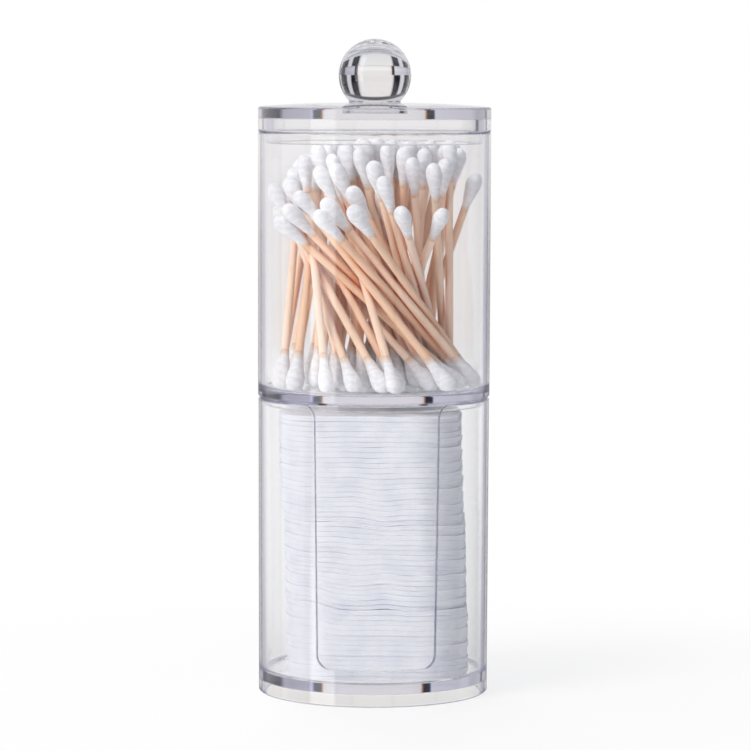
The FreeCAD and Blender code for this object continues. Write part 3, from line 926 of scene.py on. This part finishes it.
@dataclass
class Studio:
    """Camera, lamps, floor and the white surroundings with their dark flags.

    Lengths are in millimetres unless they say so, and directions in degrees: round the object
    from 0 behind it, and above the horizon.
    """

    view_distance: float = 1100.0
    view_elevation: float = 4.854
    view_azimuth: float = 1.9
    view_roll: float = 0.20
    view_across: float = 0.348
    view_height: float = 95.55
    view_clip_m: tuple[float, float] = (0.05, 50.0)
    focal_pixels: float = 3644.4
    frame_pixels: float = 750.0
    sensor: float = 36.0
    bounces: int = 96                # light runs round inside a moulding many times
    lamps: tuple[Lamp, ...] = (
        Lamp("key", (-0.90, -0.80, 0.65), 0.6, 10.6, "#FFFDFA"),
        Lamp("fill", (0.95, -0.55, 0.35), 0.8, 0.3, "#F2F4FF"),
        Lamp("top", (-0.05, -0.05, 1.1), 0.8, 4.5, "#FFFFFF"),
        Lamp("back", (-0.15, 1.0, 0.55), 0.7, 4.6, "#FFFFFF"),
    )
    floor_radius_m: float = 3.0
    floor_sides: int = 96
    floor_drop_m: float = 0.0002
    floor_paper: str = "#F6F6F6"
    floor_fade_m: tuple[float, float] = (0.05, 0.22)   # from here to there it turns plain white
    floor_white: tuple[float, float] = (0.70, 1.0)     # share of plain white near and far
    soft_grey: str = "#898B92"
    narrow_flags: Stops = (
        (-71, "#DCDCE4"), (-69, "#2A2A33"), (-66, "#23222B"), (-65, "#D9A277"),
        (-64, "#B2B2BC"), (-52, "#B2B2BC"), (-46, "#D4D4DE"), (-21.8, "#E6E6EC"),
        (-21.4, "#6F93E8"), (-21.0, "#0B0D18"), (-17.8, "#100E14"), (-17.3, "#EE9A55"),
        (-16.8, "#F4F3F1"), (-12, "#FFFDF9"), (14, "#FFFEFC"), (21.0, "#F4F3F1"),
        (21.5, "#EE9A55"), (22.0, "#100E14"), (25.4, "#0B0D18"), (25.9, "#5577D8"),
        (26.4, "#CFCFDA"), (44, "#BDBDC9"), (48, "#3A3A46"), (74, "#2A2A38"), (79, "#DCDCE4"),
    )
    wide_flags: Stops = (
        (-84, "#E8E8EC"), (-78, "#2A2A33"), (-69, "#101016"), (-67, "#F4F4F8"),
        (-63, "#EEEEF2"), (-61, "#16161C"), (-42, "#16161C"), (-39, "#F0F0F4"),
        (-32, "#E6E6EC"), (-30, "#16161C"), (-21, "#131726"), (-19, "#E6E6EC"),
        (-17, "#FFFDF9"), (17, "#FFFEFC"), (20, "#E6E6EC"), (22, "#131726"), (31, "#16161C"),
        (33, "#E6E6EC"), (39, "#E4E4EA"), (42, "#1C1C26"), (61, "#16161C"), (63, "#EEEEF2"),
        (67, "#F4F4F8"), (69, "#101016"), (79, "#2A2A33"), (85, "#E8E8EC"),
    )
    narrow_zone: tuple[float, float] = (-10.8, -0.4)   # elevations that show narrow flags
    narrow_edge: float = 0.3
    flag_zone: tuple[float, float] = (-39.0, 26.0)     # elevations that show any flags
    flag_edge: float = 1.0
    unmirrored: float = 0.5          # light mirrored inside a moulding has a glossy depth of 1
    thick: float = 2.5               # light through a thin-walled canister passes four faces
    levels: Stops = (
        (-75, "#8A8B92"), (-64, "#E6E6EA"), (-58, "#3A3B42"), (-54, "#3A3B42"),
        (-51, "#E6E6EA"), (-41, "#F6F6F8"), (-39, "#55565E"), (-36, "#E2E2E6"),
        (-11.2, "#F4F4F6"), (-10.8, "#E2E2E4"), (-9.9, "#E2E2E4"), (-9.7, "#F6F6F6"),
        (-7.5, "#FFFFFF"), (-5.2, "#FFFFFF"), (-4.6, "#F4F2F2"), (25, "#F4F2F2"),
        (27, "#4A4B51"), (31, "#4A4B51"), (33, "#D4D5D9"), (90, "#C4C5CB"),
    )
    room_low: Stops = (
        (-180, "#7B7B86"), (-88, "#8A8684"), (-78, "#F8F6F2"), (-46, "#F8F6F2"),
        (-38, "#9E9CA0"), (38, "#A0A0AA"), (46, "#FAFAFA"), (78, "#FFFFFF"), (88, "#84848C"),
        (180, "#7B7B86"),
    )
    room_high: str = "#EEEEF0"
    room_step: tuple[float, float] = (-3.2, -1.5)
    window_light: float = 3.0
    window_azimuth: float = -126.0
    window_edge: tuple[float, float] = (12.0, 15.0)    # away from its middle
    window_top: tuple[float, float] = (50.0, 60.0)
    WHITE: ClassVar[str] = "#FFFFFF"
    BLACK: ClassVar[str] = "#000000"

    def camera(self) -> None:
        """Place the camera, with the object turned a little to its left."""
        tilt, azimuth = math.radians(self.view_elevation), math.radians(self.view_azimuth)
        data = bpy.data.cameras.new("camera")
        data.sensor_width = self.sensor
        data.lens = self.focal_pixels * self.sensor / self.frame_pixels
        data.clip_start, data.clip_end = self.view_clip_m
        camera = bpy.data.objects.new("camera", data)
        bpy.context.scene.collection.objects.link(camera)
        place = Vector((
            self.view_across, -self.view_distance * math.cos(tilt),
            self.view_height + self.view_distance * math.sin(tilt)))
        turn = Matrix.Rotation(-azimuth, 4, "Z")
        look = Matrix.Rotation(math.pi / 2 - tilt, 4, "X")
        roll = Matrix.Rotation(math.radians(self.view_roll), 4, "Z")
        camera.matrix_world = turn @ Matrix.Translation(place * MM) @ look @ roll
        bpy.context.scene.camera = camera

    def floor(self) -> None:
        """Lay the white floor, which keeps the object's shadow near it."""
        mesh = bpy.data.meshes.new("floor")
        build = bmesh.new()
        bmesh.ops.create_circle(
            build, cap_ends=True, segments=self.floor_sides, radius=self.floor_radius_m)
        build.to_mesh(mesh)
        build.free()
        floor = bpy.data.objects.new("floor", mesh)
        bpy.context.scene.collection.objects.link(floor)
        floor.location.z = -self.floor_drop_m
        material, tree = new_material("white_paper_sweep")
        place = add_node(tree, "ShaderNodeNewGeometry").outputs["Position"]
        away = add_node(tree, "ShaderNodeVectorMath", {0: place}, operation="LENGTH")
        far = rescale(
            tree, away.outputs["Value"], self.floor_fade_m, self.floor_white,
            interpolation_type="SMOOTHSTEP")
        paths = add_node(tree, "ShaderNodeLightPath").outputs
        share = calculate(tree, "MULTIPLY", far, paths["Is Camera Ray"])
        paper = add_node(
            tree, "ShaderNodeBsdfPrincipled",
            {"Base Color": linear(self.floor_paper), "Roughness": 1.0,
             "Specular IOR Level": 0.0})
        white = add_node(
            tree, "ShaderNodeEmission", {"Color": linear(self.WHITE), "Strength": 1.0})
        mixed = add_node(
            tree, "ShaderNodeMixShader",
            {0: share, 1: paper.outputs[0], 2: white.outputs[0]})
        add_node(tree, "ShaderNodeOutputMaterial", {"Surface": mixed.outputs[0]})
        mesh.materials.append(material)
        floor.visible_transmission = False
        floor.visible_glossy = False

    def surroundings(self) -> None:
        """Build the white room, as seen directly, through clear plastic and in gloss."""
        world = bpy.data.worlds.new("white_room")
        bpy.context.scene.world = world
        world.use_nodes = True
        tree = world.node_tree
        tree.nodes.clear()
        way = add_node(tree, "ShaderNodeTexCoord").outputs["Generated"]
        axes = add_node(tree, "ShaderNodeSeparateXYZ", {0: way}).outputs
        azimuth = calculate(tree, "ARCTAN2", axes["X"], axes["Y"])
        elevation = calculate(tree, "ARCSINE", axes["Z"])
        paths = add_node(tree, "ShaderNodeLightPath").outputs
        seen = linear(self.soft_grey)
        for path, colour in (
            ("Is Glossy Ray", self.gloss(tree, azimuth, elevation)),
            ("Is Transmission Ray", self.through(tree, azimuth, elevation)),
            ("Is Camera Ray", linear(self.WHITE)),
        ):
            seen = blend(tree, paths[path], seen, colour)
        background = add_node(tree, "ShaderNodeBackground", {"Color": seen, "Strength": 1.0})
        add_node(tree, "ShaderNodeOutputWorld", {"Surface": background.outputs[0]})

    @staticmethod
    def spread(
        tree: Tree, value: Socket, stops: Stops, low: float = -90.0, high: float = 90.0
    ) -> Socket:
        """Colour that changes with an angle.

        Args:
            tree: The world's node tree.
            value: The angle, in radians.
            stops: Angles in degrees and their colours.
            low: Angle where the colours begin, in degrees.
            high: Angle where they end.

        Returns:
            The colour.
        """
        share = rescale(tree, value, (math.radians(low), math.radians(high)))
        scaled = [((angle - low) / (high - low), colour) for angle, colour in stops]
        return add_node(tree, "ShaderNodeValToRGB", {"Fac": share}, stops=scaled).outputs[0]

    @staticmethod
    def zone(limits: tuple[float, float], edge: float, inside: str, outside: str) -> Stops:
        """Stops that hold one colour between two angles and another past a soft edge."""
        low, high = limits
        return ((low - edge, outside), (low, inside), (high, inside), (high + edge, outside))

    def through(self, tree: Tree, azimuth: Socket, elevation: Socket) -> Socket:
        """White panel between dark flags, which the thick mouldings bend into view.

        The lid, the seam and the base show the narrow flags, directly and mirrored inside, and
        the ball shows the wide ones. What is seen past four faces of the thin walls stays plain.

        Args:
            tree: The world's node tree.
            azimuth: Direction round the object.
            elevation: Direction above the horizon.

        Returns:
            The colour seen through the plastic.
        """
        quarter = math.pi / 2
        around = calculate(tree, "WRAP", azimuth, quarter, -quarter)
        level = self.spread(tree, elevation, self.levels)
        wide = self.spread(tree, around, self.wide_flags)
        beyond = self.spread(tree, elevation, self.zone(
            self.narrow_zone, self.narrow_edge, self.BLACK, self.WHITE))
        paths = add_node(tree, "ShaderNodeLightPath").outputs
        direct = calculate(tree, "LESS_THAN", paths["Glossy Depth"], self.unmirrored)
        share = calculate(tree, "MULTIPLY", beyond, direct)
        flags = blend(tree, share, self.spread(tree, around, self.narrow_flags), wide)
        zone = self.spread(tree, elevation, self.zone(
            self.flag_zone, self.flag_edge, self.WHITE, self.BLACK))
        thick = calculate(tree, "LESS_THAN", paths["Transmission Depth"], self.thick)
        shown = calculate(tree, "MULTIPLY", zone, thick)
        return blend(tree, shown, level, flags, "MULTIPLY")

    def gloss(self, tree: Tree, azimuth: Socket, elevation: Socket) -> Socket:
        """Pale wall behind, a grey room in front and a tall soft window, for reflections.

        Args:
            tree: The world's node tree.
            azimuth: Direction round the object.
            elevation: Direction above the horizon.

        Returns:
            The colour that reflections see.
        """
        low = self.spread(tree, azimuth, self.room_low, -180, 180)
        above = self.spread(
            tree, elevation, tuple(zip(self.room_step, (self.BLACK, self.WHITE))))
        room = blend(tree, above, low, linear(self.room_high))
        from_middle = calculate(tree, "SUBTRACT", azimuth, math.radians(self.window_azimuth))
        across = calculate(tree, "ABSOLUTE", from_middle)
        fade = (self.WHITE, self.BLACK)
        window = self.spread(tree, across, tuple(zip(self.window_edge, fade)), 0, 30)
        below_top = self.spread(tree, elevation, tuple(zip(self.window_top, fade)), 0)
        shown = calculate(tree, "MULTIPLY", window, below_top)
        bright = (self.window_light, self.window_light, self.window_light, 1.0)
        return blend(tree, shown, room, bright)

    def build(self) -> None:
        """Set the view, the light and the white surroundings."""
        scene = bpy.context.scene
        scene.view_settings.view_transform = "Standard"
        scene.cycles.max_bounces = self.bounces
        scene.cycles.transmission_bounces = self.bounces
        scene.cycles.glossy_bounces = self.bounces
        self.camera()
        for lamp in self.lamps:
            lamp.build()
        self.floor()
        self.surroundings()


def main() -> None:
    """Dress the frame and build the soft goods and the studio."""
    logging.basicConfig(level=logging.INFO, format="%(name)s: %(message)s")
    ClearMouldings().dress()
    PadStack().build()
    SwabSheaf().build()
    Studio().build()


if __name__ == "__main__":
    main()
